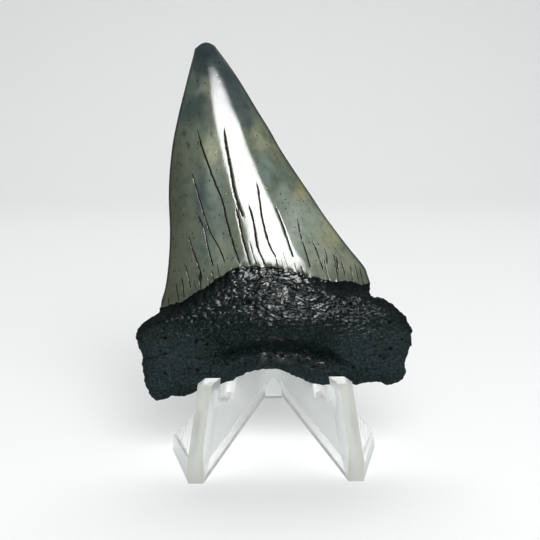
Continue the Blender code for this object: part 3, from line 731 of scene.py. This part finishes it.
    add_attribute(mesh, "plane", "FLOAT_VECTOR", np.column_stack([u, v, w]))
    add_attribute(mesh, "above", "FLOAT", above)
    add_attribute(mesh, "crack", "FLOAT", field)
    add_attribute(mesh, "crack_width", "FLOAT", crack_width)
    add_attribute(mesh, "relief", "FLOAT", relief)
    add_attribute(mesh, "wrinkled", "FLOAT", wrinkled)
    add_attribute(mesh, "edge_gap", "FLOAT", edge_gap)
    pale = ramp(9.0, 17.0, np.abs(u)) * (1.0 - ramp(9.0, 15.0, v))
    pale = pale + 0.8 * (1.0 - ramp(2.0, 5.0, bottom_gap))
    add_attribute(mesh, "pale", "FLOAT", np.minimum(pale, 1.0))
    dark_edge = 0.8 * np.exp(-(edge_gap / 1.8) ** 2) * ramp(9.0, 13.0, v)
    dark = np.maximum(np.exp(-(above / 2.4) ** 2), dark_edge)
    add_attribute(mesh, "dark", "FLOAT", dark)
    add_attribute(mesh, "patch", "FLOAT_VECTOR", patch_colours(u, v))
    tooth = bpy.data.objects.new("fossil_tooth", mesh)
    bpy.context.scene.collection.objects.link(tooth)
    return tooth


def add_attribute(mesh, name, kind, values):
    attribute = mesh.attributes.new(name, kind, "POINT")
    field = "vector" if kind == "FLOAT_VECTOR" else "value"
    attribute.data.foreach_set(field, np.ascontiguousarray(values, np.float32).ravel())


class Shader:
    """Short ways to add nodes to one material."""

    def __init__(self, name):
        self.material = bpy.data.materials.new(name)
        self.material.use_nodes = True
        self.tree = self.material.node_tree
        self.surface = self.tree.nodes["Principled BSDF"]

    def put(self, socket, value):
        if isinstance(value, bpy.types.NodeSocket):
            self.tree.links.new(value, socket)
        else:
            socket.default_value = value

    def node(self, kind, inputs=(), **settings):
        made = self.tree.nodes.new(kind)
        for name, value in settings.items():
            setattr(made, name, value)
        for name, value in dict(inputs).items():
            self.put(made.inputs[name], value)
        return made

    def math(self, operation, a, b=0.0):
        return self.node("ShaderNodeMath", {0: a, 1: b}, operation=operation).outputs[0]

    def smooth(self, value, low, high):
        """0 at low, 1 at high."""
        made = self.node("ShaderNodeMapRange", {"Value": value, "From Min": low, "From Max": high},
                         interpolation_type="SMOOTHSTEP")
        return made.outputs["Result"]

    def scaled(self, value, low, high):
        """From 0 to 1, to low to high."""
        made = self.node("ShaderNodeMapRange", {"Value": value, "To Min": low, "To Max": high})
        return made.outputs["Result"]

    def mix(self, part, a, b, blend="MIX"):
        made = self.node("ShaderNodeMix", data_type="RGBA", blend_type=blend)
        for socket, value in ((made.inputs[0], part), (made.inputs[6], a), (made.inputs[7], b)):
            self.put(socket, value)
        return made.outputs[2]

    def tinted(self, part, colour, tint):
        """The colour, multiplied by the tint where the part is 1."""
        return self.mix(part, colour, self.mix(1.0, colour, (*tint, 1.0), "MULTIPLY"))

    def attribute(self, name, output="Fac"):
        return self.node("ShaderNodeAttribute", attribute_name=name).outputs[output]

    def noise(self, vector, size, detail=2.0, roughness=0.5):
        """Noise from 0 to 1 with features of about the given size in the vector's unit."""
        made = self.node("ShaderNodeTexNoise", {"Vector": vector, "Scale": 1.0 / size, "Detail": detail,
                                                "Roughness": roughness})
        return made.outputs["Fac"]

    def stretched(self, vector, scale):
        return self.node("ShaderNodeMapping", {"Vector": vector, "Scale": scale}).outputs["Vector"]

    def bump(self, height, strength, distance):
        inputs = {"Height": height, "Strength": strength, "Distance": distance}
        return self.node("ShaderNodeBump", inputs).outputs["Normal"]


def rgba(colour):
    return (*linear(colour), 1.0)


def enamel_material():
    """Patches, fine mottle, specks, and dark lines with brown edges for the cracks."""
    s = Shader("tooth_enamel")
    plane = s.attribute("plane", "Vector")
    long_grain = s.stretched(plane, (1.0, 0.22, 1.0))
    mottle = s.noise(plane, 1.9, 5.0, 0.62)
    grain = s.noise(long_grain, 0.45, 4.0, 0.6)
    colour = s.attribute("patch", "Color")
    colour = s.tinted(s.smooth(mottle, 0.42, 0.72), colour, (0.70, 0.74, 0.76))
    colour = s.tinted(s.smooth(grain, 0.45, 0.75), colour, (1.25, 1.20, 1.06))
    near_border = s.math("SUBTRACT", 1.0, s.smooth(s.attribute("above"), 0.4, 3.4))
    colour = s.tinted(s.math("MULTIPLY", near_border, 0.42), colour, (0.5, 0.5, 0.46))
    speck_cells = s.node("ShaderNodeTexVoronoi", {"Vector": plane, "Scale": 1.0 / 1.15})
    chosen = s.smooth(s.noise(plane, 3.1, 1.0), 0.42, 0.54)
    speck = s.math("SUBTRACT", 1.0, s.smooth(speck_cells.outputs["Distance"], 0.08, 0.19))
    speck = s.math("MULTIPLY", speck, chosen)
    colour = s.mix(s.math("MULTIPLY", speck, 0.8), colour, rgba(SPECK_COLOUR))
    width = s.attribute("crack_width")
    inside_crack = s.math("SUBTRACT", width, s.math("ABSOLUTE", s.attribute("crack")))
    halo = s.math("MULTIPLY", s.smooth(inside_crack, -0.14, 0.02), s.smooth(width, 0.06, 0.14))
    core = s.smooth(inside_crack, -0.06, 0.02)
    core = s.math("MULTIPLY", core, s.smooth(width, 0.01, 0.05))
    colour = s.mix(s.math("MULTIPLY", halo, 0.6), colour, rgba(CRACK_EDGE_COLOUR))
    colour = s.mix(core, colour, rgba(CRACK_COLOUR))
    # A dark line along the enamel's edges: partly their own darker colour, partly painted dark reflection
    # at the silhouette
    rim = s.math("SUBTRACT", 1.0, s.smooth(s.attribute("edge_gap"), 0.10, 0.8))
    colour = s.mix(s.math("MULTIPLY", rim, 0.75), colour, rgba(ENAMEL_RIM_COLOUR_AND_DARK_REFLECTION))
    s.put(s.surface.inputs["Base Color"], colour)

    rough = s.scaled(s.noise(plane, 0.8, 4.0, 0.7), 0.08, 0.20)
    rough = s.math("ADD", rough, s.math("MULTIPLY", near_border, 0.16))
    rough = s.math("MAXIMUM", rough, s.math("MULTIPLY", core, 0.6))
    s.put(s.surface.inputs["Roughness"], rough)
    # Cracks and specks are metallic so that their nearly black colour keeps the gloss out of them
    s.put(s.surface.inputs["Metallic"], s.math("MAXIMUM", core, s.math("MULTIPLY", speck, 0.9)))
    s.surface.inputs["IOR"].default_value = TOOTH_IOR
    s.surface.inputs["Specular IOR Level"].default_value = 0.3

    fine = s.noise(plane, 0.22, 3.0, 0.6)
    height = s.math("ADD", s.math("MULTIPLY", grain, 0.008), s.math("MULTIPLY", fine, 0.003))
    crack_depth = s.math("MULTIPLY", core, s.smooth(width, 0.05, 0.13))
    height = s.math("SUBTRACT", height, s.math("MULTIPLY", crack_depth, 0.08))
    height = s.math("SUBTRACT", height, s.math("MULTIPLY", speck, 0.015))
    s.put(s.surface.inputs["Normal"], s.bump(height, 1.0, MM))
    return s.material


def root_material(name, gloss, rough_plain, rough_wrinkled):
    """Nearly black, and paler low on the lobes; gloss is the strength of its reflections."""
    s = Shader(name)
    plane = s.attribute("plane", "Vector")
    relief = s.attribute("relief")
    wrinkled = s.attribute("wrinkled")
    grain = s.noise(plane, 0.5, 5.0, 0.6)
    tone = s.noise(plane, 5.0, 3.0, 0.6)
    colour = s.mix(tone, *(rgba(colour) for colour in ROOT_COLOURS))
    colour = s.mix(s.smooth(s.attribute("pale"), 0.0, 1.0), colour, rgba(ROOT_PALE_COLOUR))
    colour = s.mix(s.math("MULTIPLY", s.smooth(grain, 0.50, 0.64), 0.7), colour, rgba(ROOT_LIGHT_GRAIN))
    colour = s.mix(s.math("MULTIPLY", s.smooth(grain, 0.48, 0.36), 0.8), colour, rgba(ROOT_DARK_GRAIN))
    # Valleys and pits of the relief are painted darker: painted shade in the recesses
    colour = s.mix(s.smooth(relief, -0.05, -0.30), colour, rgba(ROOT_HOLLOW_SHADE_COLOUR))
    colour = s.mix(s.math("MULTIPLY", s.attribute("dark"), 0.85), colour, rgba(ROOT_SHADE_COLOUR))
    s.put(s.surface.inputs["Base Color"], colour)
    rough = s.scaled(wrinkled, rough_plain, rough_wrinkled)
    rough = s.math("ADD", rough, s.math("MULTIPLY", s.math("SUBTRACT", grain, 0.5), 0.12))
    s.put(s.surface.inputs["Roughness"], rough)
    s.surface.inputs["IOR"].default_value = TOOTH_IOR
    s.surface.inputs["Specular IOR Level"].default_value = gloss
    fine = s.noise(plane, 0.2, 2.0, 0.6)
    height = s.math("ADD", s.math("MULTIPLY", grain, 0.10), s.math("MULTIPLY", fine, 0.02))
    height = s.math("MULTIPLY", height, s.scaled(wrinkled, 0.8, 1.2))
    s.put(s.surface.inputs["Normal"], s.bump(height, 1.0, MM))
    return s.material


def stand_material(name, colour, clearness, roughness):
    """Moulded plastic, faintly uneven; clearness is the part of the light that it lets through."""
    s = Shader(name)
    s.surface.inputs["Base Color"].default_value = rgba(colour)
    s.surface.inputs["Transmission Weight"].default_value = clearness
    s.surface.inputs["IOR"].default_value = PLASTIC_IOR
    s.surface.inputs["Roughness"].default_value = roughness
    place = s.node("ShaderNodeTexCoord").outputs["Object"]
    s.put(s.surface.inputs["Normal"], s.bump(s.noise(place, 4.0 * MM, 2.0), 0.25, 0.3 * MM))
    return s.material


def join_ribs(shape):
    """The ribs of both plates run on over the front of the spine and meet there below a point."""
    top = Vector((0.0, 0.0, RIB_JOINT_TOP_Z * MM))
    fall = RIB_JOINT_TOP_Z - RIB_JOINT_EDGE_Z
    slopes = [Vector((side * fall, 0.0, SPINE_HALF_WIDTH)) for side in (-1.0, 1.0)]

    def on_spine_front(face):
        middle = face.calc_center_median() / MM
        return face.normal.y < -0.99 and abs(middle.x) < SPINE_HALF_WIDTH and middle.y > 0.0

    for slope in slopes:
        front = [face for face in shape.faces if on_spine_front(face)]
        edges = {edge for face in front for edge in face.edges}
        corners = {corner for face in front for corner in face.verts}
        cut = [*front, *edges, *corners]
        bmesh.ops.bisect_plane(shape, geom=cut, dist=SAME_PLACE_M, plane_co=top, plane_no=slope)
    below = [face for face in shape.faces if on_spine_front(face)
             and all((face.calc_center_median() - top).dot(slope) < 0.0 for slope in slopes)]
    moved = bmesh.ops.extrude_face_region(shape, geom=below)["geom"]
    bmesh.ops.delete(shape, geom=[face for face in below if face.is_valid], context="FACES_ONLY")
    for corner in moved:
        if isinstance(corner, bmesh.types.BMVert):
            corner.co.y -= RIB_JOINT_OUT * MM
            if corner.co.z < (SPINE_BOTTOM_Z + 0.5) * MM:
                corner.co.z += RIB_JOINT_UNDERCUT * MM
    shape.normal_update()


def stand_finish(face):
    """Material index of one face of the stand, from its place and the way that it faces."""
    middle = face.calc_center_median() / MM
    across = abs(middle.x)
    sideways = abs(face.normal.x)
    forward = -face.normal.y
    finish = CLEAR
    if forward > 0.8 and across > POST_INNER_X:
        finish = SATIN
    elif forward > 0.9 and across < SPINE_HALF_WIDTH:
        finish = MISTY
    elif forward > 0.3 and face.normal.z < -0.3 and across < SPINE_HALF_WIDTH:
        finish = SHADED
    elif forward > 0.4 and sideways > 0.5 and middle.z > WEB_BOTTOM_Z:
        finish = MISTY
    elif sideways > 0.9 and across > WING_INNER_X:
        finish = POLISHED if middle.z > WING_FOOT_Z else MISTY
    return finish


def make_stand():
    """The moulded stand, with its ribs joined, a finish to each face and small rounded edges."""
    shape = bmesh.new()
    shape.from_mesh(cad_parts["stand"].data)
    bmesh.ops.remove_doubles(shape, verts=shape.verts[:], dist=SAME_PLACE_M)
    flat = math.radians(0.5)
    bmesh.ops.dissolve_limit(shape, angle_limit=flat, verts=shape.verts[:], edges=shape.edges[:])
    join_ribs(shape)
    for face in shape.faces:
        face.material_index = stand_finish(face)
    mesh = bpy.data.meshes.new("stand_body")
    shape.to_mesh(mesh)
    shape.free()
    stand = bpy.data.objects.new("stand_body", mesh)
    bpy.context.scene.collection.objects.link(stand)
    for finish in STAND_FINISHES:
        mesh.materials.append(stand_material(*finish))
    bevel = stand.modifiers.new("soft_edges", "BEVEL")
    bevel.width = STAND_EDGE_ROUND * MM
    bevel.segments = 2
    bevel.limit_method = "ANGLE"
    bevel.angle_limit = math.radians(25.0)
    bevel.use_clamp_overlap = True
    applied = bpy.data.meshes.new_from_object(stand.evaluated_get(bpy.context.evaluated_depsgraph_get()))
    stand.modifiers.clear()
    stand.data = applied
    applied.name = "stand_body"
    stand.visible_shadow = False
    return stand


def make_camera():
    place, *directions = camera_axes()
    axes = Matrix(directions).transposed().to_4x4()
    place = place - Vector((OBJECT_CENTRE_X, OBJECT_CENTRE_Y, 0.0))
    data = bpy.data.cameras.new("camera")
    data.lens = CAMERA_LENS_MM
    data.sensor_width = SENSOR_MM
    data.clip_start = 0.01
    camera = bpy.data.objects.new("camera", data)
    bpy.context.scene.collection.objects.link(camera)
    camera.matrix_world = Matrix.Translation(place * MM) @ axes
    bpy.context.scene.camera = camera


def area_light(name, azimuth, elevation, distance, size, power, aim=LIGHT_AIM):
    """A soft rectangular light, in degrees and metres.

    Azimuth 0 is at the front, and a positive one is to the viewer's right.
    """
    data = bpy.data.lights.new(name, "AREA")
    data.shape = "RECTANGLE"
    data.size, data.size_y = size
    data.energy = power
    light = bpy.data.objects.new(name, data)
    bpy.context.scene.collection.objects.link(light)
    a, e = math.radians(azimuth), math.radians(elevation)
    away = Vector((math.sin(a) * math.cos(e), -math.cos(a) * math.cos(e), math.sin(e)))
    light.location = Vector(aim) + distance * away
    light.rotation_euler = away.to_track_quat("Z", "Y").to_euler()
    return light


def make_stage(tooth, stand):
    """Pale floor that curves up into a backdrop, soft lights and an even grey surround."""
    half_width, front_y, back_y, radius, top_z = 1.6, -1.4, 0.55, 0.35, 1.6
    profile = [(front_y, 0.0), (back_y, 0.0)]
    profile += [(back_y + radius * math.sin(a), radius * (1.0 - math.cos(a)))
                for a in np.linspace(0.0, 0.5 * math.pi, 17)[1:]]
    profile.append((back_y + radius, top_z))
    verts = [(x, y, z) for y, z in profile for x in (-half_width, half_width)]
    faces = [(2 * k, 2 * k + 1, 2 * k + 3, 2 * k + 2) for k in range(len(profile) - 1)]
    mesh = bpy.data.meshes.new("floor")
    mesh.from_pydata(verts, [], faces)
    mesh.polygons.foreach_set("use_smooth", np.ones(len(faces), bool))
    floor = bpy.data.objects.new("floor", mesh)
    bpy.context.scene.collection.objects.link(floor)
    s = Shader("floor")
    s.surface.inputs["Base Color"].default_value = rgba(FLOOR_COLOUR)
    s.surface.inputs["Roughness"].default_value = 0.7
    s.surface.inputs["Specular IOR Level"].default_value = 0.0
    mesh.materials.append(s.material)

    world = bpy.data.worlds.new("surround")
    world.use_nodes = True
    background = world.node_tree.nodes["Background"]
    background.inputs["Color"].default_value = rgba(SURROUND_COLOUR)
    background.inputs["Strength"].default_value = SURROUND_STRENGTH
    bpy.context.scene.world = world

    # A bright window gives the tooth its highlight; a lower, dimmer one lights the stand and the floor
    window = area_light("tooth_window", 20.0, 41.5, 0.6, WINDOW_SIZE, 25.0)
    only_tooth = bpy.data.collections.new("only_tooth")
    only_tooth.objects.link(tooth)
    window.light_linking.receiver_collection = only_tooth
    stand_window = area_light("stand_window", 14.0, 23.0, 0.6, WINDOW_SIZE, 4.5)
    all_but_tooth = bpy.data.collections.new("all_but_tooth")
    all_but_tooth.objects.link(stand)
    all_but_tooth.objects.link(floor)
    stand_window.light_linking.receiver_collection = all_but_tooth
    for light in (window, stand_window):
        light.visible_diffuse = False
    key = area_light("key_light", 19.0, 32.0, 0.6, (0.40, 0.34), 1.55)
    fill = area_light("fill_light", 4.0, 33.0, 1.2, (0.85, 0.7), 10.9)
    wall = area_light("wall_light", 0.0, 89.0, 1.1, (1.6, 0.5), 3.6, aim=WALL_LIGHT_AIM)
    back = area_light("back_light", 180.0, 50.0, 0.7, (0.8, 0.4), 1.0)
    for light in (key, fill, wall, back):
        light.visible_glossy = False
    for light in (window, stand_window, key, fill, wall, back):
        light.visible_transmission = False


tooth = make_tooth()
stand = make_stand()
for piece, node, slot in ((tooth, "tooth", "tooth"), (stand, "stand", "clear_plastic")):
    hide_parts(node)
    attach(piece, "root")
make_camera()
make_stage(tooth, stand)
bpy.context.scene.view_settings.view_transform = "Standard"
